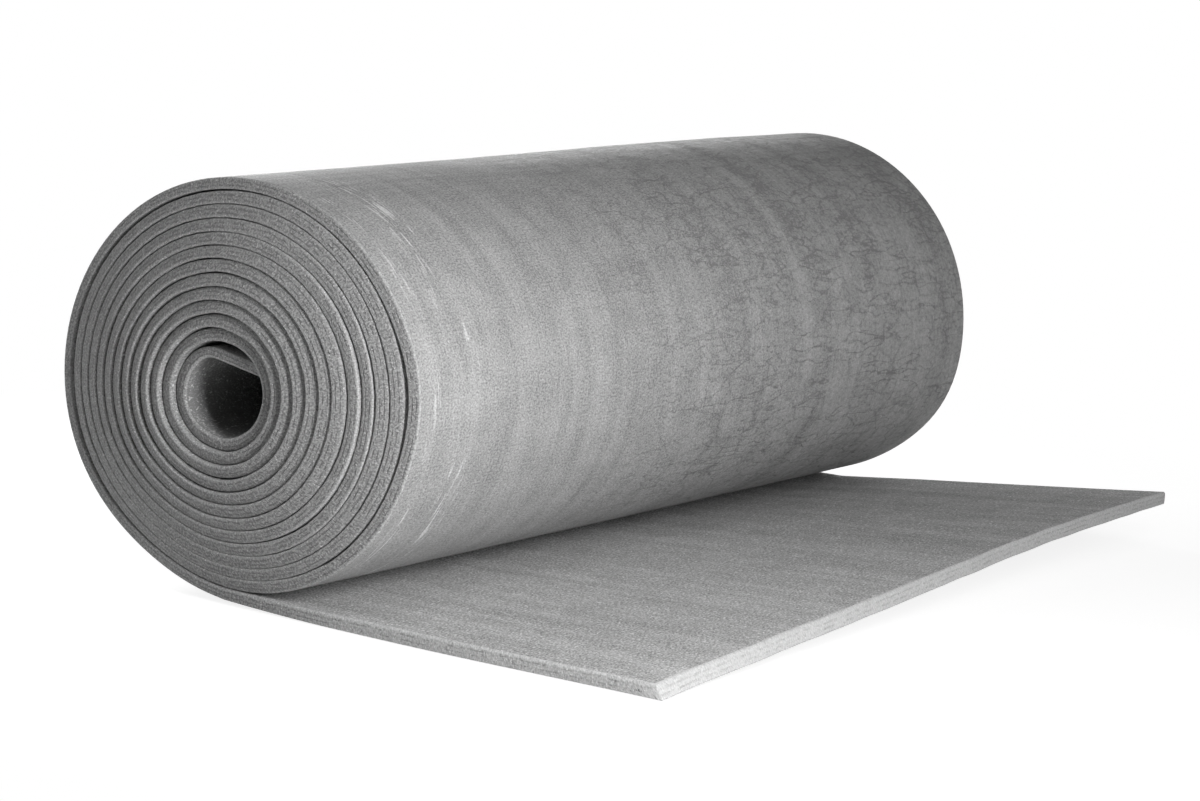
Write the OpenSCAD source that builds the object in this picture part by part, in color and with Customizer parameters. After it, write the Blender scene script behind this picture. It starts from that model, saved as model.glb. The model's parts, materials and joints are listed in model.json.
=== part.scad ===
// Roll of foam insulation sheet, wound on a mandrel that has been drawn out,
// with its outer end unrolled on the floor in front of it.
//
// The roll lies along X. The loose outer end runs out to -Y on the floor, Z = 0.
// Seen from the -X end the sheet leaves the floor under the roll, climbs the back (+Y),
// passes over the top, comes down the front (-Y) and goes on winding inwards like that.
// The turns have slid along each other, so the middle of the roll stands out at the -X end
// and is drawn in at the +X end. The loose end keeps some curl: its +X corner is off the floor.

/* [Sheet] */
// Width of the sheet, which is the length of each turn
sheet_width = 1000; // [500:10:1600]
// Thickness of the foam
sheet_thickness = 10; // [5:0.5:20]
// Rounding of the cut edge at the loose outer end
edge_round = 2; // [0.5:0.1:2.4]

/* [Winding] */
// Diameter of the bore that the winding mandrel leaves
bore_d = 76; // [50:1:120]
// Full turns from the floor inwards, before the inner end
turns = 12; // [4:1:20]
// Air gap between one turn and the next
turn_gap = 1.2; // [0.4:0.1:2.5]
// How far the gap between the turns is open, from each end of the roll
gap_depth = 30; // [5:1:120]
// How far past the top of the bore the inner end of the sheet reaches
inner_end_angle = 60; // [20:5:140]
// How far the innermost turns have slid out of the outer turn
core_slide = 30; // [6:1:60]

/* [Loose end] */
// Length of the loose end, from under the roll's axis to its cut edge
loose_length = 425; // [250:5:900]
// Length of it that lies flat before the curl begins
flat_length = 60; // [20:5:120]
// Height of the curled corner off the floor
corner_lift = 40; // [5:1:90]

/* [Hidden] */
foam_grey = [0.47, 0.47, 0.47];
$fn = 96;

// Each turn climbs by one pitch, in two half turns about two centres on one plumb line:
// a back half, and a front half whose centre is half a pitch higher.
// Half circles about these centres meet square to the plumb line, so the spiral runs on smoothly.
// Half turns are counted inwards from the floor: even ones are at the back, odd ones at the front.
pitch = sheet_thickness + turn_gap;
bore_r = bore_d / 2;
back_r = bore_r + turns * pitch + sheet_thickness;
axis_z = back_r;
front_z = axis_z + pitch / 2;
last_front_half = 2 * turns - 1;
last_back_half = 2 * turns;

// The origin is on the floor, at the middle of the ground that the part covers.
axis_y = (loose_length - back_r) / 2;
outer_shift = core_slide / 2;
full_length = sheet_width + core_slide;

// The sheet's own thickness, in half turns of the winding
sheet_in_halves = 2 * sheet_thickness / pitch;

// The curl rises from the flat stretch to the cut edge, and from the -X side to the +X side.
curl_length = loose_length - flat_length;
curl_rise = 1.15;
curl_side = 1.3;
curl_rows = 9;
curl_columns = 12;
corner_points = 4;

// The curled stretch begins this far inside the flat one, so that the two are one piece.
curl_lap = 5;

// Cutters reach past the faces that they open by this much, and past a turn into its gap by this share.
cut_over = 1;
into_gap = 0.75;
shallowest_cut = 0.2;

// Radius of the outer face of a half turn.
function outer_r(half_turn) = back_r - half_turn * pitch / 2;

// How far the sheet has slid out after so many half turns.
function slid(half_turn) = core_slide * sin(90 * min(1, max(0, (half_turn - 2) / (2 * turns - 4))));

// Depth of the sheet's cut edge, inwards from the outermost plane of one end of the roll.
function edge_depth(half_turn, standing_out) =
    standing_out ? core_slide - slid(half_turn) : slid(half_turn);

// Turns a shape drawn with Y to the right and Z up, so that it is extruded along X.
module along_roll() {
    rotate([90, 0, 90]) children();
}

// Half of a disc, on the back (side = 1) or the front (side = -1) of the plumb line.
module half_disc(r, side) {
    intersection() {
        circle(r);
        translate([side > 0 ? 0 : -r, -r]) square([r, 2 * r]);
    }
}

// A back half and the front half that follows it, from the radius of the back one.
module spiral_disc(r) {
    translate([0, axis_z]) half_disc(r, 1);
    translate([0, front_z]) half_disc(r - pitch / 2, -1);
}

// Outline of the roll and the flat stretch beside it, seen from the -X end, with the bore.
module roll_section() {
    difference() {
        union() {
            spiral_disc(back_r);
            translate([-flat_length, 0]) square([flat_length, sheet_thickness]);
        }
        translate([0, axis_z]) circle(bore_r);
    }
}

// Sweeps a section, drawn with the radius to the right, round a half turn or part of one.
module round_half_turn(half_turn, sweep = 180) {
    at_back = half_turn % 2 == 0;
    translate([0, at_back ? axis_z : front_z])
        rotate([0, 0, at_back ? -90 : 90])
            rotate_extrude(angle = sweep) children();
}

// Cutter that takes one half turn back to where it has slid to, with its cut edge leaning.
module slide_cut(half_turn, standing_out) {
    outer = outer_r(half_turn) + into_gap * turn_gap;
    inner = half_turn < last_front_half
        ? outer_r(half_turn) - sheet_thickness - into_gap * turn_gap
        : bore_r / 2;
    outer_depth = edge_depth(half_turn, standing_out);
    inner_depth = edge_depth(half_turn + sheet_in_halves, standing_out);
    if (max(outer_depth, inner_depth) > shallowest_cut)
        round_half_turn(half_turn)
            polygon([[inner, -inner_depth], [outer, -outer_depth], [outer, cut_over], [inner, cut_over]]);
}

// Cutter for the gap inside one half turn, open to the depth given below the deeper of its two edges.
module gap_cut(half_turn, standing_out, sweep = 180) {
    outer = outer_r(half_turn) - sheet_thickness;
    depth = gap_depth + max(edge_depth(half_turn + sheet_in_halves, standing_out),
                            edge_depth(half_turn + 2, standing_out));
    round_half_turn(half_turn, sweep)
        translate([outer - turn_gap, -depth]) square([turn_gap, depth + cut_over]);
}

// Cutter for the slit that the inner end of the sheet leaves, from the middle of the last gap
// into the bore.
module inner_end_slit(standing_out) {
    inner_gap = outer_r(last_front_half) - sheet_thickness;
    depth = gap_depth + edge_depth(last_front_half, standing_out);
    translate([0, front_z])
        rotate([0, 0, 90 + inner_end_angle])
            translate([bore_r / 2, 0, -depth])
                cube([inner_gap - turn_gap / 2 - bore_r / 2, turn_gap, depth + cut_over]);
}

// Cutter for the whole spiral of one end, whose outermost plane is its own Z = 0.
module end_cuts(standing_out) {
    past_slit = 2 * asin(turn_gap / (outer_r(last_front_half) - sheet_thickness));
    for (half_turn = [0 : last_front_half - 1]) gap_cut(half_turn, standing_out);
    gap_cut(last_front_half, standing_out, inner_end_angle + past_slit);
    inner_end_slit(standing_out);
    for (half_turn = [2 : last_back_half]) slide_cut(half_turn, standing_out);
}

// Cutter that leaves only the slid turns standing, past the end of the outer turn and the flat stretch.
module outer_turn_cut() {
    reach = loose_length + 2 * back_r;
    translate([0, 0, -core_slide])
        linear_extrude(core_slide + cut_over)
            difference() {
                translate([-reach, -reach]) square(2 * reach);
                spiral_disc(outer_r(2) + (1 - into_gap) * turn_gap);
            }
}

// The wound turns with the flat stretch of the loose end, drawn with the roll's length along Z.
module wound_turns() {
    difference() {
        linear_extrude(full_length, center = true) roll_section();
        translate([0, 0, full_length / 2]) end_cuts(false);
        mirror([0, 0, 1])
            translate([0, 0, full_length / 2]) {
                end_cuts(true);
                outer_turn_cut();
            }
    }
}

// Outline of the curled stretch, as [distance from the flat stretch, height in the sheet]:
// out along the underside, round the cut edge and back along the top.
function curl_corner(height, from) = [
    for (i = [0 : corner_points])
        let (angle = from + 90 * i / corner_points)
            [curl_length - edge_round + edge_round * cos(angle), height + edge_round * sin(angle)]
];
function curl_outline() = concat(
    [[-curl_lap, 0]],
    [for (i = [0 : curl_rows - 1]) [(curl_length - edge_round) * i / curl_rows, 0]],
    curl_corner(edge_round, -90),
    curl_corner(sheet_thickness - edge_round, 0),
    [for (i = [curl_rows - 1 : -1 : 0]) [(curl_length - edge_round) * i / curl_rows, sheet_thickness]],
    [[-curl_lap, sheet_thickness]]
);

// How far the curled stretch is off the floor, from its two shares of the way to the lifted corner.
function curl_lift(along, across) =
    corner_lift * pow(max(0, along), curl_rise) * (1 - pow(1 - across, curl_side));

// The curled stretch of the loose end: its outline, lifted more and more across the sheet.
module curled_end() {
    outline = curl_outline();
    count = len(outline);
    points = [
        for (column = [0 : curl_columns], spot = outline)
            let (across = column / curl_columns)
                [(across - 0.5) * sheet_width, -flat_length - spot[0],
                 spot[1] + curl_lift(spot[0] / curl_length, across)]
    ];
    sides = [
        for (column = [0 : curl_columns - 1], i = [0 : count - 1])
            let (next = (i + 1) % count, here = column * count, beside = here + count)
                each [[here + i, here + next, beside + next], [here + i, beside + next, beside + i]]
    ];
    last = curl_columns * count;
    ends = [
        for (i = [0 : count / 2 - 2])
            let (over = count - 1 - i)
                each [[over, over - 1, i + 1, i], [last + i, last + i + 1, last + over - 1, last + over]]
    ];
    polyhedron(points, concat(sides, ends));
}

// The one piece: the wound sheet with its loose end.
module foam_roll() {
    color(foam_grey)
        translate([0, axis_y, 0]) {
            along_roll() wound_turns();
            translate([outer_shift, 0, 0]) curled_end();
        }
}

foam_roll();
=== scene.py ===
# %% [markdown]
# # A roll of foam insulation sheet
#
# The object is one long sheet of grey foam, wound into a roll on a bar that was then drawn out, with
# the last stretch of the sheet left lying on the floor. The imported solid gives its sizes: it is loaded
# first, and each size of the roll below is taken from it or belongs to the foam itself. Everything is
# in metres, in the solid's own frame: X runs along the roll, Z is up, and the loose end points to -Y.

# %% Load the frame and read the sizes
import json
import math
from bisect import bisect_right

import bmesh
import bpy
from mathutils import Matrix, Vector, noise


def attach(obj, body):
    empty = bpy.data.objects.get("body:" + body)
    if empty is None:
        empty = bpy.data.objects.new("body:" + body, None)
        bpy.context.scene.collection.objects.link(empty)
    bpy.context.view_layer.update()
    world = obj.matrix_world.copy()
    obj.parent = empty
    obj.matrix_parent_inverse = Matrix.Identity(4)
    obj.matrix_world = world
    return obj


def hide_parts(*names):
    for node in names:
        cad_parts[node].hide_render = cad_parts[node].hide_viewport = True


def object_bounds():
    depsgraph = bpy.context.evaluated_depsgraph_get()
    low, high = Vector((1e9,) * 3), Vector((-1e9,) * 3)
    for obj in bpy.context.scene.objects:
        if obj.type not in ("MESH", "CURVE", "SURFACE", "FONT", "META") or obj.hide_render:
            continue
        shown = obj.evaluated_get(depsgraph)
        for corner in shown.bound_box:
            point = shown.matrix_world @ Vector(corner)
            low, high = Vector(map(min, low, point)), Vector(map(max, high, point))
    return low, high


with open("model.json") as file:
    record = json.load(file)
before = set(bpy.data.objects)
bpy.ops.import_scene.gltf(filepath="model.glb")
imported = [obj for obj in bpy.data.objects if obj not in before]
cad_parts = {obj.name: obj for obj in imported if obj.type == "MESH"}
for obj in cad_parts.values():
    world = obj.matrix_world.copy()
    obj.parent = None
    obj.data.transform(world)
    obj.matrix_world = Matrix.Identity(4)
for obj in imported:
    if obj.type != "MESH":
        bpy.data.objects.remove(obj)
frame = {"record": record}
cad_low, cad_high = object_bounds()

mm = 0.001
bore_mount = next(mount for mount in frame["record"]["mounts"] if mount["name"] == "bore")
bore_radius = bore_mount["dims"]["r_mm"] * mm
sheet_width = bore_mount["dims"]["length_mm"] * mm
core_slide = cad_high.x - cad_low.x - sheet_width
outer_shift = core_slide / 2
roll_radius = cad_high.z / 2
axis_y = cad_high.y - roll_radius
loose_length = axis_y - cad_low.y
print(f"sheet {sheet_width:.3f} wide, roll {2 * roll_radius:.4f} across, bore {2 * bore_radius:.3f},"
      f" loose end {loose_length:.3f}, middle slid out {core_slide:.3f}")

# %% [markdown]
# ## The camera
#
# The picture was taken with a long lens from in front of the roll's near end, a little above it.
# The long lens matters: it keeps the far end nearly as large as the near one. The camera could be
# aimed with a Track To constraint, but three plain turns (yaw, pitch and a slight roll of the horizon)
# say the same thing with no constraint left in the file.

# %% Set up the camera
camera_place = Vector((-3.1838, -1.8334, 0.7284))
camera_yaw = math.radians(30.70)
camera_pitch = math.radians(-9.04)
camera_roll = math.radians(4.85)

camera_data = bpy.data.cameras.new("photo_camera")
camera_data.sensor_width = 36
camera_data.lens = 120.5
camera = bpy.data.objects.new("photo_camera", camera_data)
turn_to_yaw = Matrix.Rotation(camera_yaw - math.pi / 2, 4, "Z")
turn_to_pitch = Matrix.Rotation(camera_pitch + math.pi / 2, 4, "X")
turn_to_roll = Matrix.Rotation(camera_roll, 4, "Z")
camera.matrix_world = Matrix.Translation(camera_place) @ turn_to_yaw @ turn_to_pitch @ turn_to_roll
bpy.context.scene.collection.objects.link(camera)
bpy.context.scene.camera = camera
print("camera looks along", (camera.matrix_world.to_3x3() @ Vector((0, 0, -1))).to_tuple(3))

# %% [markdown]
# ## The path of the sheet
#
# From its cut front edge the sheet lies flat, then climbs the back of the roll and winds inwards. A
# true spiral has no simple length, so the winding is drawn as a maker would draw it with compasses:
# half circles about two centres on one plumb line, each half circle half a pitch smaller than the one
# before. They meet square to the plumb line, so the path runs on smoothly. The inner end was pinched
# on the bar: it bends in sharply and then runs straight across the bore, like a flap.

# %% Measure the path
thickness = 10 * mm
air_gap = 1.2 * mm
pitch = thickness + air_gap
half_turns = round(2 * (roll_radius - thickness - bore_radius) / pitch) + 1

flap_angle = math.radians(44)
flap_bend_radius = 18.5 * mm
flap_bend = math.radians(57)
flap_straight = 50 * mm


def outer_radius(half_turn):
    """Radius of the outer face of one half turn, counted inwards from the floor."""
    return roll_radius - half_turn * pitch / 2


half_turn_starts = [loose_length]
for half_turn in range(half_turns):
    half_length = math.pi * (outer_radius(half_turn) - thickness / 2)
    half_turn_starts.append(half_turn_starts[-1] + half_length)

last_half = half_turns - 1
last_half_length = half_turn_starts[last_half + 1] - half_turn_starts[last_half]
flap_start = half_turn_starts[last_half] + last_half_length * (flap_angle + math.pi / 2) / math.pi
sheet_length = flap_start + flap_bend_radius * flap_bend + flap_straight
print(f"{half_turns} half turns, sheet {sheet_length:.2f} long")

# %% [markdown]
# ## The flat sheet
#
# The roll could be drawn as rings, but then nothing would join one turn to the next. Here it is made
# as the factory makes it: a flat sheet is cut first and wound afterwards. Its rows of points are close
# together where the sheet will be seen, on the loose end and the outer turn, and wider further in.

# %% Choose the rows of the sheet
support = 6 * mm
loose_row = 12 * mm
flap_row = 4 * mm
outer_row_degrees = 3
inner_row_degrees = 6


def spaced(start, end, spacing):
    """Places from start up to, but not with, end, about one spacing apart."""
    count = max(1, round((end - start) / spacing))
    return [start + (end - start) * i / count for i in range(count)]


rows = [0] + spaced(support, loose_length, loose_row)
for half_turn in range(last_half + 1):
    half_start, half_end = half_turn_starts[half_turn:half_turn + 2]
    degrees = outer_row_degrees if half_turn < 2 else inner_row_degrees
    rows += spaced(half_start, min(half_end, flap_start), (half_end - half_start) * degrees / 180)
rows += spaced(flap_start, sheet_length - support, flap_row)
rows += [sheet_length - support, sheet_length]
print(f"{len(rows)} rows of points along the sheet")

# %% [markdown]
# A grid gives the sheet itself, and its rows are then moved to their places. Only the outer stretch
# gets fine columns as well, by cutting its cross edges. Two extra cuts near the long edges keep the
# rounding of the rim from shading the wide faces beside it.

# %% Cut the sheet as a grid
coarse_columns = 16
fine_cuts = 7
fine_end = half_turn_starts[2] + 20 * mm
same_row = 0.1 * mm

sheet = bmesh.new()
bmesh.ops.create_grid(sheet, x_segments=coarse_columns, y_segments=len(rows) - 1, size=0.5)
for vert in sheet.verts:
    row = round((vert.co.y + 0.5) * (len(rows) - 1))
    vert.co = Vector((vert.co.x * sheet_width, rows[row], 0))

cross_edges = [edge for edge in sheet.edges
               if abs(edge.verts[0].co.y - edge.verts[1].co.y) < same_row
               and edge.verts[0].co.y < fine_end]
bmesh.ops.subdivide_edges(sheet, edges=cross_edges, cuts=fine_cuts, use_grid_fill=True)
for side in (-1, 1):
    rim = side * (sheet_width / 2 - support)
    bmesh.ops.bisect_plane(sheet, geom=sheet.verts[:] + sheet.edges[:] + sheet.faces[:],
                           plane_co=(rim, 0, 0), plane_no=(1, 0, 0))
print(f"flat sheet: {len(sheet.faces)} faces")

# %% [markdown]
# Foam of this kind is cut with a knife that presses it down, so its edges spring back round. In the
# roll the inner edge of each turn is squeezed rounder than the outer one. Extruding the grid gives the
# thickness. Two bevels give the two roundings: the first takes the inner edges, which are the upper
# ones while the sheet lies flat, and the second takes all that is still sharp.

# %% Give the sheet its thickness and its rounded edges
inner_round = 2.0 * mm
outer_round = 1.3 * mm
inner_segments = 4
outer_segments = 2
sharp_angle = 1.0

lifted = bmesh.ops.extrude_face_region(sheet, geom=sheet.faces[:], use_keep_orig=True)
top_verts = [item for item in lifted["geom"] if isinstance(item, bmesh.types.BMVert)]
bmesh.ops.translate(sheet, verts=top_verts, vec=(0, 0, thickness))
bmesh.ops.recalc_face_normals(sheet, faces=sheet.faces[:])


def sharp_edges(low, high):
    """Edges of the thick sheet that are still sharp and lie between two heights."""
    return [edge for edge in sheet.edges if edge.calc_face_angle(0) > sharp_angle
            and all(low <= vert.co.z <= high for vert in edge.verts)]


for low, high, rounding, segments in ((thickness * 0.9, thickness * 1.1, inner_round, inner_segments),
                                      (-thickness, thickness, outer_round, outer_segments)):
    bmesh.ops.bevel(sheet, geom=sharp_edges(low, high), offset=rounding, offset_type="OFFSET",
                    segments=segments, profile=0.5, affect="EDGES", material=-1, clamp_overlap=True)
print(f"thick sheet: {len(sheet.verts)} points, {len(sheet.faces)} faces")

# %% [markdown]
# The flat place of each point (across the sheet, along it, and up through it) is kept in an attribute.
# The pattern of the foam was made while it was flat, so the materials read this attribute and the
# pattern follows the sheet round the roll. The wide faces get the skin, and the edges the cut foam.

# %% Sort the faces and keep the flat places
SKIN, CUT = 0, 1
wide_face_normal = 0.99

for face in sheet.faces:
    face.material_index = SKIN if abs(face.normal.z) > wide_face_normal else CUT
    face.smooth = True
flat_place = sheet.verts.layers.float_vector.new("sheet_place")
for vert in sheet.verts:
    vert[flat_place] = vert.co
skin_faces = sum(face.material_index == SKIN for face in sheet.faces)
print(f"{skin_faces} faces of skin and {len(sheet.faces) - skin_faces} of cut foam")

# %% [markdown]
# ## What makes it a real roll
#
# A perfect spiral looks like a drawing. A real foam roll has been carried and set down: it is a little
# wider than it is high, and it has soft dents and swellings. Each of these is a small function that
# says how far a turn stands out from its circle. Angles start at the back of the roll and climb over
# the top. Places along the roll are shares, from 0 at the near end to 1 at the far end.

# %% Out of round, with dents
near_shape = {"swell": 1.0 * mm, "oval": 3.0 * mm, "lean": 2.2 * mm, "pear": 0.0}
far_shape = {"swell": 1.5 * mm, "oval": 3.2 * mm, "lean": 0.6 * mm, "pear": -1.2 * mm}
dents = (
    {"out": -7.5 * mm, "degrees": -62, "width": 32, "place": 0, "length": 0.45},
    {"out": 4.5 * mm, "degrees": 204, "width": 20, "place": 1, "length": 0.4},
    {"out": 2.2 * mm, "degrees": 155, "width": 45, "place": 1, "length": 0.5},
    {"out": 3.0 * mm, "degrees": 85, "width": 45, "place": 0.75, "length": 0.3},
)


def bell(value, middle, width):
    """1 at the middle, falling smoothly to nothing on both sides."""
    return math.exp(-((value - middle) / width) ** 2)


def signed_degrees(angle):
    """An angle in degrees, between -180 and 180."""
    return (math.degrees(angle) + 180) % 360 - 180


def towards_far(across):
    """0 at the near end of the roll and 1 at the far end."""
    return min(1, max(0, across / sheet_width + 0.5))


def out_of_round(across, angle):
    """How far the outer turn stands out from its circle."""
    far = towards_far(across)
    shape = {key: near_shape[key] * (1 - far) + far_shape[key] * far for key in near_shape}
    return (shape["swell"] + shape["oval"] * math.cos(2 * angle)
            + shape["lean"] * math.sin(2 * angle) + shape["pear"] * math.sin(3 * angle))


def dented(across, angle):
    """How far dents and swellings from lying and being carried stand out."""
    out = 0
    for dent in dents:
        turned = signed_degrees(angle - math.radians(dent["degrees"]))
        out += (dent["out"] * bell(turned, 0, dent["width"])
                * bell(towards_far(across), dent["place"], dent["length"]))
    return out


print(f"outer turn, top {out_of_round(0, math.pi / 2) / mm:.1f} mm, front"
      f" {out_of_round(0, math.pi) / mm:.1f} mm out of round")

# %% [markdown]
# The outer turn has sprung off at the front of the near end, and at its back the gap inside it is wide.
# Further in the gaps wander, and in many places the foam has swollen until two turns press on each
# other, so that the dark line between them comes and goes. The soft middle sags, so its turns are
# flatter than circles.

# %% Sprung outer turn, gaps and sagging middle
crest_height = 3.0 * mm
crest_degrees = 172
crest_width = 16
crest_turns = 0.7
crest_fade = 0.8
wander = 0.45 * mm
wander_round = 1.4
wander_along = 0.8
wander_inwards = 0.9
outer_turn = 0.9
outer_gap = {"size": 2.2 * mm, "degrees": -5, "width": 55}
least_gap = 0.15 * mm
tight_spot = {"degrees": -40, "width": 60, "turn": 3.2, "turns": 1.0}
pressed_share = 0.45
pressed_round = 2.2
pressed_inwards = 1.3
pressed_offset = 7
core_sag = 0.09


def sprung(across, angle, turns_in):
    """The outer turn has sprung off in a blunt crest at the front of the near end."""
    fading = math.exp(-max(0, turns_in - crest_turns) / crest_fade)
    crest = crest_height * bell(math.degrees(angle), crest_degrees, crest_width) * fading
    return crest * (1 - towards_far(across)) ** 2


def gap_wander(across, angle, turns_in):
    """Slow changes in the gap from turn to turn."""
    spot = Vector((wander_round * math.cos(angle) + wander_along * across,
                   wander_round * math.sin(angle), wander_inwards * turns_in))
    return wander * noise.noise(spot)


def gap_fill(across, angle, turns_in):
    """How far the foam of a turn swells into the gap inside it, or draws back from it if negative."""
    degrees = signed_degrees(angle)
    if turns_in < outer_turn:
        return (-outer_gap["size"] * bell(degrees, outer_gap["degrees"], outer_gap["width"])
                * (1 - towards_far(across)) ** 2)
    gap = air_gap + gap_wander(across, angle, turns_in) - gap_wander(across, angle, turns_in + 1)
    spot = Vector((pressed_round * math.cos(angle), pressed_round * math.sin(angle),
                   pressed_inwards * turns_in + pressed_offset))
    tight = (bell(degrees, tight_spot["degrees"], tight_spot["width"])
             * bell(turns_in, tight_spot["turn"], tight_spot["turns"]))
    pressed = min(1, max(0, pressed_share + noise.noise(spot) + tight))
    return pressed * (gap - least_gap)


def sag(radius):
    """Share by which a turn of this radius is flattened: nothing outside, most at the bore."""
    return core_sag * ((bore_radius / radius) ** 2 - (bore_radius / roll_radius) ** 2)


print(f"the bore sags by {100 * sag(bore_radius):.1f}% of its height")

# %% [markdown]
# The turns have also slid along each other, so that the middle of the roll stands out at the near end
# and is drawn in at the far end, as a blunt cone. The innermost turns came back a little with the bar.
# The cut faces lean with the cone, apart from a few turns at the front that slid as clean steps.
# Bending squeezes the inner side of the foam and stretches the outer side, so at both ends each turn
# bulges along its inner edge, and most near the bore. Together this gives the ends their saw teeth.

# %% Sliding of the turns along the roll
slide_begin = 1
slide_turns = (half_turns - 1) / 2 - 2
recess_begin = 10
recess_rate = 1.1 * mm
steps_turn = 4.25
steps_turns = 0.9
steps_degrees = 172
steps_width = 60
cone_lean = 0.9
lean_lost = 0.85
end_bulge = 1.8 * mm
bulge_outside = 0.3
bulge_per_turn = 0.12
bulge_reach = 25 * mm


def slide(turns_in):
    """How far a turn has slid towards the near end."""
    share = min(1, max(0, (turns_in - slide_begin) / slide_turns))
    recess = recess_rate * max(0, turns_in - recess_begin) ** 2
    return core_slide * math.sin(math.pi / 2 * share) - recess


def stepped(angle, turns_in):
    """1 where a few turns at the front have slid as clean steps, and 0 elsewhere."""
    return bell(turns_in, steps_turn, steps_turns) * bell(math.degrees(angle), steps_degrees, steps_width)


def slid(across, angle, turns_in, depth):
    """Place along the roll of a point of the sheet after the turns have slid."""
    steps = stepped(angle, turns_in)
    lean = (cone_lean - lean_lost * steps) * depth / pitch
    from_end = sheet_width / 2 - abs(across)
    at_end = max(0, 1 - from_end / bulge_reach) ** 2
    bulge = (end_bulge * (bulge_outside + bulge_per_turn * turns_in) * (1 - steps)
             * at_end * (2 * depth / thickness - 1))
    return outer_shift + across - slide(turns_in + lean) + bulge * math.copysign(1, across)


print(f"middle of the roll slid {slide(10) / mm:.0f} mm, innermost turn {slide(12.3) / mm:.0f} mm")

# %% [markdown]
# ## Winding it up
#
# Now every point of the flat sheet is moved to its place on the path. For the wound part that is: find
# the half turn, turn the length along the sheet into an angle, set the middle of the sheet on its
# slightly squashed circle, and step out from there through the foam's thickness. So the squashing
# leaves the thickness as it is, and only a gap that is filled or opened changes it.

# %% Wind a point of the turns
underneath = -math.pi / 2


def onto_roll(across, along, depth):
    """Place of a point of the wound part."""
    half_turn = min(bisect_right(half_turn_starts, along) - 1, last_half)
    half_length = half_turn_starts[half_turn + 1] - half_turn_starts[half_turn]
    into_half = (along - half_turn_starts[half_turn]) / half_length
    angle = math.pi * (half_turn % 2 + into_half - 0.5)
    turns_in = (half_turn + into_half) / 2
    radius = outer_radius(half_turn) - thickness / 2
    share_out = (radius / (roll_radius - thickness / 2)) ** 2
    bent = ((out_of_round(across, angle) + dented(across, angle)) * share_out
            + sprung(across, angle, turns_in)
            + gap_wander(across, angle, turns_in) * min(1, turns_in))
    rise = pitch / 2 * (half_turn % 2)
    flat = 1 - sag(radius)
    out = Vector((0, math.cos(angle) * flat, math.sin(angle))).normalized()
    middle = Vector((0, (radius + bent) * math.cos(angle),
                     (rise + (radius + bent) * math.sin(angle)) * flat))
    settle = out_of_round(across, underneath)
    swell = gap_fill(across, angle, turns_in) * depth / thickness
    spot = middle + out * (thickness / 2 - depth - swell)
    return Vector((slid(across, angle, turns_in, depth),
                   axis_y + spot.y, roll_radius + spot.z + settle))


print("a point on top of the roll lands at",
      onto_roll(0, loose_length + math.pi * (roll_radius - thickness / 2), 0).to_tuple(4))

# %% [markdown]
# The flap at the inner end is one sharp bend and a straight run. Its outer face is squeezed against
# the turn outside it, so the foam there thins to a wedge: the thickness is cut down to the room that
# is left, which is where a line square to the flap meets that turn.

# %% Wind a point of the flap
flap_clearance = 0.3 * mm


def room_outside(spot, out):
    """Distance from a point of the flap's inner face, square to it, to the turn outside."""
    at_front = spot.y + out.y * thickness < 0
    half_turn = half_turns - 2 if at_front else half_turns - 3
    centre = Vector((0, 0, pitch / 2 if at_front else 0))
    limit = outer_radius(half_turn) - thickness - flap_clearance
    beside = out.dot(spot - centre)
    return -beside + math.sqrt(beside ** 2 + limit ** 2 - (spot - centre).length_squared)


def onto_flap(across, along, depth):
    """Place of a point of the inner end, past where it leaves the round."""
    run = along - flap_start
    turned = min(run / flap_bend_radius, flap_bend)
    straight = max(0, run - flap_bend_radius * flap_bend)
    out = Vector((0, math.cos(flap_angle + turned), math.sin(flap_angle + turned)))
    leave = Vector((0, math.cos(flap_angle), math.sin(flap_angle)))
    bend_centre = leave * (bore_radius - flap_bend_radius)
    spot = bend_centre + out * flap_bend_radius + Vector((0, -out.z, out.y)) * straight
    foam = min(thickness, room_outside(spot, out))
    spot += out * foam * (1 - depth / thickness)
    turns_in = (half_turns - 1) / 2 + (flap_angle + math.pi / 2 + turned) / (2 * math.pi)
    flat = 1 - sag(bore_radius + thickness / 2)
    settle = out_of_round(across, underneath)
    return Vector((slid(across, flap_angle, turns_in, depth),
                   axis_y + spot.y, roll_radius + spot.z * flat + settle))


print("the tip of the flap lands at", onto_flap(0, sheet_length, thickness).to_tuple(4))

# %% [markdown]
# The loose end keeps some of the curl it had in the roll. Its near corner lies on the floor, and its
# far side rises in a gentle ramp from the roll to the far corner. Out of the squeeze of the winding the
# foam has swollen again. The knife was held at a slant and wandered a little, so the front face leans
# and its edge isn't quite straight.

# %% Lay a point of the loose end
flat_by_roll = 60 * mm
ramp_length = loose_length - flat_by_roll
ramp_power = 1.05
far_lift = 42 * mm
side_power = 1.3
lift_reach = 120 * mm
loose_swell = 0.25
swell_reach = 150 * mm
side_bow = 5 * mm
cut_slant = 8 * mm
slant_power = 0.7
cut_bow = 7 * mm
cut_bow_place = 0.72
cut_bow_width = 0.22
cut_wander = 1.6 * mm
cut_wander_length = 45 * mm
cut_wander_offset = 3.7
cut_reach = 60 * mm


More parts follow.
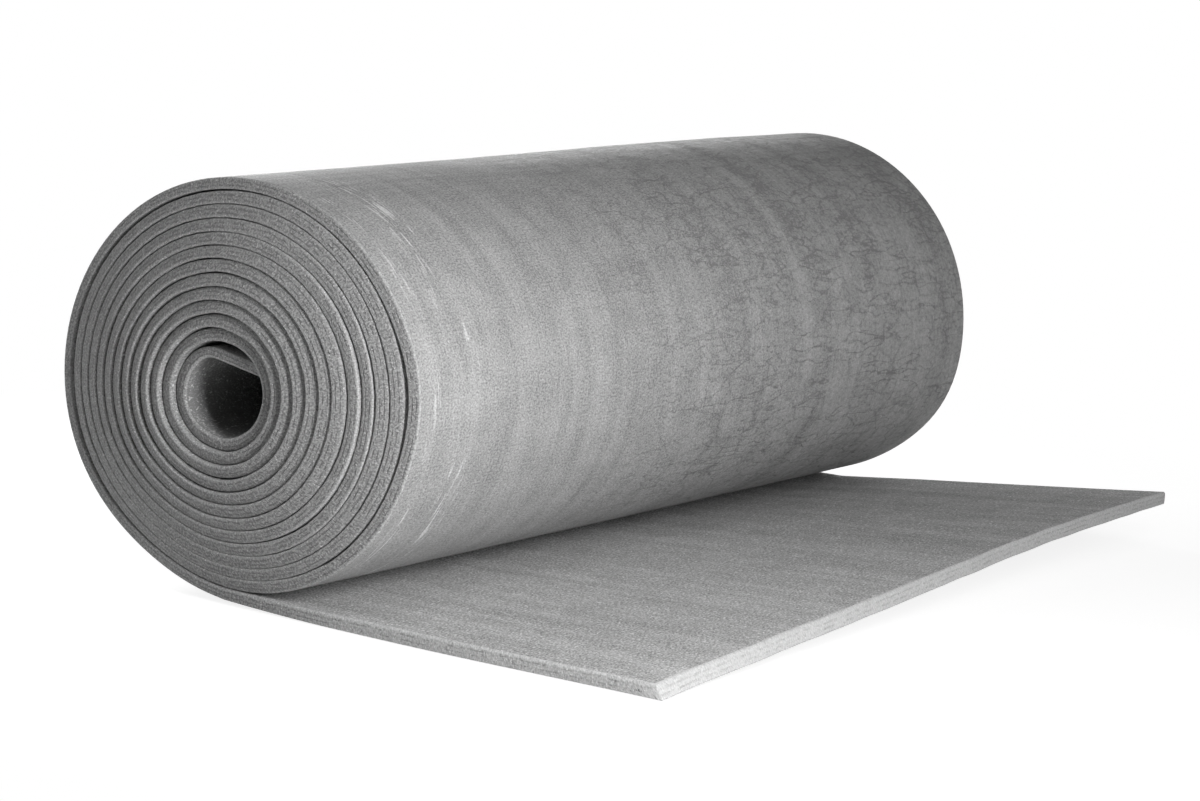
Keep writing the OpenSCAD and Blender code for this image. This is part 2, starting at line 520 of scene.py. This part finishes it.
def onto_floor(across, along, depth):
    """Place of a point of the loose end."""
    far = towards_far(across)
    ramp = max(0, 1 - along / ramp_length) ** ramp_power
    by_roll = max(0, (along - loose_length) / lift_reach + 1) ** 2
    lift = far_lift * (1 - (1 - far) ** side_power) * ramp - dented(across, underneath) * by_roll
    swollen = 1 + loose_swell * min(1, (loose_length - along) / swell_reach)
    along_cut = Vector((across / cut_wander_length, cut_wander_offset, 0))
    uneven = cut_bow * bell(far, cut_bow_place, cut_bow_width) + cut_wander * noise.noise(along_cut)
    slant = cut_slant * (1 - far) ** slant_power * (1 - depth / thickness)
    shift = (uneven - slant) * max(0, 1 - along / cut_reach)
    bow = side_bow * bell(along, loose_length / 2, loose_length / 3) * (1 - far) ** 2
    return Vector((outer_shift + across - bow, cad_low.y + along + shift, lift + depth * swollen))


print(f"far corner of the loose end lifts {onto_floor(sheet_width / 2, 0, 0).z / mm:.0f} mm")

# %% [markdown]
# With a place for every kind of point, the winding is one loop over the sheet. A last touch is the
# gentle ripple that the rollers of the foam line leave in it. It fades out towards the front edge of
# the loose end. The faces have turned with the sheet, so their outward side is worked out again.

# %% Wind the whole sheet
ripple = 0.35 * mm
ripple_across = 70 * mm
ripple_along = 220 * mm
ripple_offset = 5.1


def skin_ripple(across, along):
    """Gentle waves of the whole sheet, longer along it than across."""
    return ripple * noise.noise(Vector((across / ripple_across, along / ripple_along, ripple_offset)))


for vert in sheet.verts:
    across, along, depth = vert[flat_place]
    depth += skin_ripple(across, along) * min(1, along / loose_length)
    if along < loose_length:
        vert.co = onto_floor(across, along, depth)
    elif along < flap_start:
        vert.co = onto_roll(across, along, depth)
    else:
        vert.co = onto_flap(across, along, depth)
bmesh.ops.recalc_face_normals(sheet, faces=sheet.faces[:])

roll_mesh = bpy.data.meshes.new("wound_foam_sheet")
sheet.to_mesh(roll_mesh)
sheet.free()
roll = bpy.data.objects.new("wound_foam_sheet", roll_mesh)
bpy.context.scene.collection.objects.link(roll)
triangles = sum(len(polygon.vertices) - 2 for polygon in roll_mesh.polygons)
print(f"wound sheet: {triangles} triangles")

# %% [markdown]
# ## Shader maths in plain Python
#
# A material with many small effects soon becomes a tangle of nodes. This class wraps one socket, so
# that sums and products can be written as Python and each one adds its Math node. Any other node comes
# from its method `node`, which sets the node's options first and then its sockets.

# %% A small class for sockets


class Wire:
    """One output socket of a material. Arithmetic on it adds Math nodes."""

    def __init__(self, tree, socket=None):
        self.tree = tree
        self.socket = socket

    def node(self, kind, settings=None, sockets=None, out=0):
        made = self.tree.nodes.new("ShaderNode" + kind)
        for name, value in (settings or {}).items():
            setattr(made, name, value)
        for name, value in (sockets or {}).items():
            if isinstance(value, Wire):
                self.tree.links.new(value.socket, made.inputs[name])
            else:
                made.inputs[name].default_value = value
        return Wire(self.tree, made.outputs[out] if made.outputs else None)

    def math(self, operation, first, second):
        return self.node("Math", {"operation": operation}, {0: first, 1: second})

    def __add__(self, other):
        return self.math("ADD", self, other)

    def __radd__(self, other):
        return self.math("ADD", other, self)

    def __sub__(self, other):
        return self.math("SUBTRACT", self, other)

    def __rsub__(self, other):
        return self.math("SUBTRACT", other, self)

    def __mul__(self, other):
        return self.math("MULTIPLY", self, other)

    def __rmul__(self, other):
        return self.math("MULTIPLY", other, self)

    def __abs__(self):
        return self.math("ABSOLUTE", self, 0)


def new_material(name):
    """An empty material and a wire to start drawing from."""
    material = bpy.data.materials.new(name)
    material.use_nodes = True
    material.node_tree.nodes.clear()
    return material, Wire(material.node_tree)


print("sockets can now be added and multiplied")

# %% [markdown]
# The patterns all live on the flat sheet. These helpers read a point's flat place and make a noise of
# a given size across, along and through the sheet, or a soft step between two values.

# %% Helpers for patterns on the sheet


def sheet_place(start):
    """The flat place of a point, as one vector and as its three parts."""
    place = start.node("Attribute", {"attribute_name": "sheet_place"}, out="Vector")
    parts = [place.node("SeparateXYZ", None, {0: place}, axis) for axis in "XYZ"]
    return place, *parts


def scaled(place, across, along, through):
    """The flat place measured in patches of the size given."""
    return place.node("VectorMath", {"operation": "MULTIPLY"},
                      {0: place, 1: (1 / across, 1 / along, 1 / through)}, "Vector")


def grain(place, across, along=None, through=None, detail=2.0, rough=0.55, out="Fac"):
    """Noise whose patches have the size given."""
    patches = scaled(place, across, along or across, through or across)
    return place.node("TexNoise", None, {"Vector": patches, "Scale": 1.0, "Detail": detail,
                                         "Roughness": rough}, out)


def step(value, low, high):
    """0 below low, 1 above high, and smooth between; falling if high is below low."""
    return value.node("MapRange", {"interpolation_type": "SMOOTHSTEP"},
                      {"Value": value, "From Min": low, "From Max": high})


def grey_mix(share, dark, light):
    """A grey between two greys."""
    return share.node("Mix", {"data_type": "RGBA"},
                      {0: share, 6: (dark, dark, dark, 1), 7: (light, light, light, 1)}, 2)


print("pattern helpers ready")

# %% [markdown]
# ## The skin of the foam
#
# The faces of the sheet have a thin closed skin, left by the rollers of the foam line. Where the outer
# turn has been squeezed, mostly at the far end, it has crazed into small pillows with creases between,
# and painted shade darkens the creases. A few darker bands run round the far half, two bands by the
# near end are rubbed into pale dashes, and over the top lies a painted highlight, broken up by the
# creases of the buckled skin. Such marks could be painted on an image, but drawn from noise they stay
# sharp at any distance.

# %% Marks on the skin
top_line = half_turn_starts[1]


def creases(place, across, along, width):
    """Winding lines where a noise passes through its middle: 1 on a line and 0 off it."""
    waves = grain(place, across, along, detail=2, rough=0.5)
    return step(abs(waves - 0.5), width, 0)


def cell_edges(place, warp, across, along, width):
    """Lines between the pillows of a crazed skin: 1 on a line and 0 off it."""
    bent = place.node("VectorMath", {"operation": "MULTIPLY_ADD"},
                      {0: grain(place, 30 * mm, out="Color"), 1: (warp, warp, 0), 2: place}, "Vector")
    edge = place.node("TexVoronoi", {"feature": "DISTANCE_TO_EDGE"},
                      {"Vector": scaled(bent, across, along, 1), "Scale": 1.0}, "Distance")
    return step(edge, width, 0)


def band(value, middle, width):
    """A soft band: 1 in its middle and 0 outside it."""
    return step(abs(value - middle), width, 0)


def crazed(place, outside, far):
    """Creases in the squeezed patches of the outer turn, with hardly any at the near end."""
    squeezed = step(grain(place, 90 * mm, 60 * mm, detail=2), 0.32, 0.48)
    lines = (0.8 * creases(place, across=100 * mm, along=24 * mm, width=0.018)
             + 0.6 * cell_edges(place, warp=25 * mm, across=45 * mm, along=17 * mm, width=0.09))
    return lines * squeezed * (0.05 + 0.95 * far) * outside


def dark_bands(across, outside):
    """Darker bands round the far half of the roll."""
    return (0.6 * band(across, 0.03, 0.03) + band(across, 0.20, 0.035)
            + 0.8 * band(across, 0.31, 0.025) + band(across, 0.46, 0.05)) * outside


def scuffs(place, across, outside):
    """Pale dashes in two rubbed bands by the near end."""
    rubbed = step(grain(place, 30 * mm, 100 * mm, detail=1), 0.46, 0.56) * outside
    dashes = step(grain(place, 3 * mm, 30 * mm, detail=1), 0.56, 0.61) * rubbed
    return (band(across, -0.475, 0.012) + band(across, -0.425, 0.03)) * dashes


def painted_top_highlight(place, across, along, outside):
    """Painted highlight along the top of the roll, broken up by the creases of the buckled skin."""
    ridge = step(abs(along - top_line + 0.02), 0.06, 0.02) * step(abs(across - 0.1), 0.4, 0.2) * outside
    return ridge * (0.45 + 0.5 * creases(place, across=60 * mm, along=14 * mm, width=0.03))


print("marks of the skin: creases, bands, scuffs and buckles")

# %% [markdown]
# Under the marks lies the grain: a fine speckle of cells, a coarser mottle, soft clouds, and streaks
# and fibres that run along the sheet. It also differs from place to place, partly as painted light and
# shade. The loose end is painted paler, most towards its near end, and the face that lay inwards in the
# roll gets painted glints. The bore is painted darker as its shade. The outer turn gets a painted shade
# band below the top and painted light low on the front by the nip. Everything adds up to one tone,
# which picks a grey between two greys. What has relief, such as the speckle and the creases, also feeds
# a bump.

# %% Material: foam skin
nip_line = half_turn_starts[2]
bore_line = half_turn_starts[last_half - 1]
skin_greys = (0.26, 0.86)
tone_to_grey = 0.6


def foam_skin():
    material, start = new_material("foam_skin")
    place, across, along, depth = sheet_place(start)
    outside = step(depth, 6 * mm, 4 * mm)
    inside = 1 - outside
    loose = step(along, loose_length + 0.1, loose_length) * inside
    bore = step(along, bore_line - 0.2, bore_line) * inside
    far = step(across, -0.35, 0.10)
    away = step(across, -0.20, 0.45)
    over_top = step(abs(along - top_line), 0.10, 0.02)
    upper = step(abs(along - top_line - 0.09), 0.16, 0.04) * outside
    lower = (step(along, nip_line - 0.26, nip_line - 0.04)
             * step(along, nip_line + 0.1, nip_line) * outside)

    speckle = grain(place, 2.4 * mm, 1.6 * mm, detail=1)
    mottle = grain(place, 5.2 * mm, 3.6 * mm, detail=1)
    cloud = grain(place, 50 * mm, 30 * mm, detail=3)
    streaks = grain(place, 20 * mm, 350 * mm, detail=3, rough=0.6)
    fibres = grain(place, 3 * mm, 30 * mm, detail=2)
    wrinkles = grain(place, 120 * mm, 6 * mm, detail=2)
    # Painted glints on the face that lay inwards.
    painted_glints = step(grain(place, 3.6 * mm, 2.6 * mm, detail=1), 0.61, 0.70) * inside
    flecks = step(grain(place, 4 * mm, 8 * mm, detail=1), 0.78, 0.82) * outside
    # The crease lines darken the colour as painted shade, and also cut into the bump.
    crazing_and_shade = crazed(place, outside, far)

    grain_tone = ((2.0 - 1.3 * away + 1.3 * loose) * (speckle - 0.5)
                  + (0.3 + 0.5 * far) * (mottle - 0.5)
                  + 0.55 * (cloud - 0.5)
                  + (0.7 + 0.2 * inside) * (streaks - 0.5)
                  + 0.4 * (fibres - 0.5)
                  + 0.7 * (wrinkles - 0.5) * over_top * outside)
    # Painted light and shade by place: paler low on the front by the nip, a darker band below the top,
    # the loose end paler towards its near end, and painted shade in the bore.
    painted_light_and_shade = 0.15 * lower - 0.13 * upper + 0.21 * loose * (1 - 1.1 * away) - 0.4 * bore
    # Marks mixed with painted light and shade: a painted highlight along the top, painted glints, painted
    # shade in the creases, and flecks, scuffs and dark bands of the foam itself.
    marks_and_painted_light = (painted_top_highlight(place, across, along, outside) + 0.9 * painted_glints + 0.6 * flecks
                 + 0.8 * scuffs(place, across, outside)
                 - 0.34 * crazing_and_shade - 0.17 * dark_bands(across, outside))
    tone = 0.5 + grain_tone + painted_light_and_shade + marks_and_painted_light
    colour = grey_mix(tone_to_grey * tone, *skin_greys)

    height = (0.4 * speckle + 0.3 * mottle + 0.6 * streaks + 0.3 * fibres
              + 0.8 * wrinkles * over_top - 1.2 * crazing_and_shade)
    bump = start.node("Bump", None, {"Strength": 0.5, "Distance": 0.8 * mm, "Height": height})
    shader = start.node("BsdfPrincipled", None,
                        {"Base Color": colour, "Roughness": 0.7, "Normal": bump,
                         "Specular IOR Level": 0.10})
    start.node("OutputMaterial", None, {"Surface": shader})
    return material


skin = foam_skin()
print("skin:", len(skin.node_tree.nodes), "nodes")

# %% [markdown]
# ## The cut edges
#
# A cut opens the cells, so the edges are rougher, with painted glints where a cell wall would catch
# the light. Two faint broken lines run along the cut, as where thinner foams have been joined by heat.
# The rims of the turns get a painted highlight, and so do the outer edges of the turns that slid out as
# steps. The edges of the loose end are painted paler still, as painted light that is strongest on the
# front cut, and the front cut is the smoothest.

# %% Material: cut foam
cut_greys = (0.24, 0.84)


def join_line(depth, level):
    """A thin dark line at one level of the thickness."""
    return step(abs(depth - level), 0.7 * mm, 0.2 * mm)


def half_turn_middle(half_turn):
    """Place along the sheet of the middle of one half turn."""
    return (half_turn_starts[half_turn] + half_turn_starts[half_turn + 1]) / 2


def step_crest_highlights(along, depth):
    """Painted highlight on the outer edges of the half turns at the front that stand out as steps."""
    steps = (band(along, half_turn_middle(1), 0.30) + band(along, half_turn_middle(7), 0.28)
             + band(along, half_turn_middle(9), 0.26))
    return steps * step(depth, 2.2 * mm, 0.8 * mm)


def cut_foam():
    material, start = new_material("cut_foam")
    place, _, along, depth = sheet_place(start)
    # The edges of the loose end are painted paler as painted light, and its front cut most.
    front = step(along, 20 * mm, 8 * mm)
    loose = step(along, loose_length, loose_length - 0.15)
    # Painted highlight on the rounded rims of the turns.
    rim = step(depth, 7.2 * mm, 9.2 * mm) + 0.6 * step(depth, 1.6 * mm, 0.4 * mm)

    cells = grain(place, 1.7 * mm, detail=1)
    pores = step(grain(place, 2.4 * mm, detail=1), 0.36, 0.26)
    # Painted glints, which also feed the bump.
    painted_glints = step(grain(place, 2 * mm, detail=1), 0.62, 0.72)
    broken = step(grain(place, 8 * mm, detail=1), 0.42, 0.55)
    joins = (join_line(depth, thickness / 3) + join_line(depth, 2 * thickness / 3)) * broken

    rough = (2.0 * (cells - 0.5) + 0.8 * painted_glints - 0.3 * pores - 0.3 * joins) * (1 - 0.3 * front)
    # The tone adds painted highlights on the rims and step crests, and painted light on the loose end's
    # edges.
    tone = (0.27 + rough + 0.28 * rim * (1 - front) + 0.65 * loose + 0.25 * front
            + 0.45 * step_crest_highlights(along, depth))
    colour = grey_mix(tone_to_grey * tone, *cut_greys)

    height = 0.8 * cells + 0.4 * painted_glints - 0.6 * pores - 0.5 * joins
    bump = start.node("Bump", None, {"Strength": 0.8, "Distance": 1.2 * mm, "Height": height})
    shader = start.node("BsdfPrincipled", None,
                        {"Base Color": colour, "Roughness": 0.75, "Normal": bump,
                         "Specular IOR Level": 0.3})
    start.node("OutputMaterial", None, {"Surface": shader})
    return material


cut = cut_foam()
roll_mesh.materials.append(skin)
roll_mesh.materials.append(cut)
print("cut edges:", len(cut.node_tree.nodes), "nodes")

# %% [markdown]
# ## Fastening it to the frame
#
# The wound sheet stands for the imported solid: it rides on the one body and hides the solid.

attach(roll, "root")
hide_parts("foam_roll")
print("wound_foam_sheet replaces foam_roll")

# %% [markdown]
# ## Floor and light
#
# The roll stands on a plain white floor. To the camera the floor near the roll is a fixed glow and a
# share of real shading, which keeps the soft shadow under the roll, and further out it fades into clean
# white. All other rays see a matt floor that throws light back as paper does.

# %% Floor
floor_size = 60
floor_drop = 0.5 * mm
floor_white = 0.85
shadow_base = 0.84
shadow_white = 0.35
shadow_shape = (1.1, 1.3, 0)
shadow_fade = (0.7, 1.2)


def seen_directly(start):
    """1 where the camera looks straight at a surface, or at its mirror image or through glass."""
    path = start.node("LightPath", out="Is Camera Ray")
    node = path.socket.node
    glossy = Wire(start.tree, node.outputs["Is Glossy Ray"])
    through = Wire(start.tree, node.outputs["Is Transmission Ray"])
    return path.math("MAXIMUM", path.math("MAXIMUM", path, glossy), through)


def grey(value):
    """A grey as a socket takes it."""
    return (value, value, value, 1)


floor_bm = bmesh.new()
bmesh.ops.create_grid(floor_bm, x_segments=1, y_segments=1, size=floor_size)
bmesh.ops.translate(floor_bm, verts=floor_bm.verts[:], vec=(0, 0, -floor_drop))
floor_mesh = bpy.data.meshes.new("floor")
floor_bm.to_mesh(floor_mesh)
floor_bm.free()
floor = bpy.data.objects.new("floor", floor_mesh)
bpy.context.scene.collection.objects.link(floor)

floor_paper, start = new_material("floor_paper")
matt = start.node("BsdfDiffuse", None, {"Color": grey(floor_white)})
white = start.node("Emission", None, {"Color": grey(1), "Strength": 1.0})
glow = start.node("Emission", None, {"Color": grey(1), "Strength": shadow_base})
lit = start.node("BsdfDiffuse", None, {"Color": grey(shadow_white)})
shadowed = start.node("AddShader", None, {0: glow, 1: lit})
spot = start.node("TexCoord", out="Object")
reach = spot.node("VectorMath", {"operation": "MULTIPLY"}, {0: spot, 1: shadow_shape}, "Vector")
distance = reach.node("VectorMath", {"operation": "LENGTH"}, {0: reach}, "Value")
by_camera = start.node("MixShader", None, {0: step(distance, *shadow_fade), 1: shadowed, 2: white})
paper = start.node("MixShader", None, {0: seen_directly(start), 1: matt, 2: by_camera})
start.node("OutputMaterial", None, {"Surface": paper})
floor_mesh.materials.append(floor_paper)
print("floor:", len(floor_paper.node_tree.nodes), "nodes")

# %% [markdown]
# The surroundings are done in the same way: clean white to the camera, and almost dark to every other
# ray, so that the lamps alone shape the roll.

# %% Surroundings
room_light = 0.015

world = bpy.data.worlds.new("studio")
bpy.context.scene.world = world
world.use_nodes = True
world.node_tree.nodes.clear()
sky = Wire(world.node_tree)
room = sky.node("Background", None, {"Color": grey(1), "Strength": room_light})
backdrop = sky.node("Background", None, {"Color": grey(1), "Strength": 1.0})
either = sky.node("MixShader", None, {0: seen_directly(sky), 1: room, 2: backdrop})
sky.node("OutputWorld", None, {"Surface": either})
print("surroundings:", len(world.node_tree.nodes), "nodes")

# %% [markdown]
# Six soft lamps light the roll. The front lamp stands before the near half and is higher than the
# roll, so the front cut edge is brightest and the side falls away towards the far end. The top and far
# lamps lift what it leaves dark. The back lamp stands behind the near end and reaches across it. The
# rim lamp, behind the far half, draws a pale line along the top, and the rear lamp keeps the back and
# the far end from going black when the roll is seen from there.

# %% Lamps


def soft_lamp(name, place, aim, size, watts):
    """An area lamp of a width and height, turned towards a point."""
    data = bpy.data.lights.new(name, "AREA")
    data.shape = "RECTANGLE"
    data.size, data.size_y = size
    data.energy = watts
    lamp = bpy.data.objects.new(name, data)
    turned = (Vector(aim) - Vector(place)).to_track_quat("-Z", "Y").to_matrix().to_4x4()
    lamp.matrix_world = Matrix.Translation(Vector(place)) @ turned
    bpy.context.scene.collection.objects.link(lamp)


soft_lamp("front_lamp", place=(-0.84, -1.02, 0.60), aim=(-0.45, 0, 0.2), size=(0.25, 0.7), watts=11.6)
soft_lamp("top_lamp", place=(-0.3, -0.7, 1.5), aim=(-0.2, -0.1, 0.1), size=(1.0, 1.0), watts=3.0)
soft_lamp("far_lamp", place=(0.5, -1.3, 0.6), aim=(0.2, 0, 0.15), size=(0.7, 0.7), watts=1.35)
soft_lamp("back_lamp", place=(-1.0, 0.95, 0.75), aim=(-0.5, 0.1, 0.15), size=(0.7, 0.7), watts=2.8)
soft_lamp("rim_lamp", place=(0.4, 1.0, 0.66), aim=(0.3, 0.1, 0.3), size=(0.6, 0.2), watts=10.0)
soft_lamp("rear_lamp", place=(1.1, 1.3, 0.36), aim=(0.3, 0.2, 0.17), size=(1.0, 0.4), watts=6.0)
bpy.context.scene.view_settings.view_transform = "Standard"
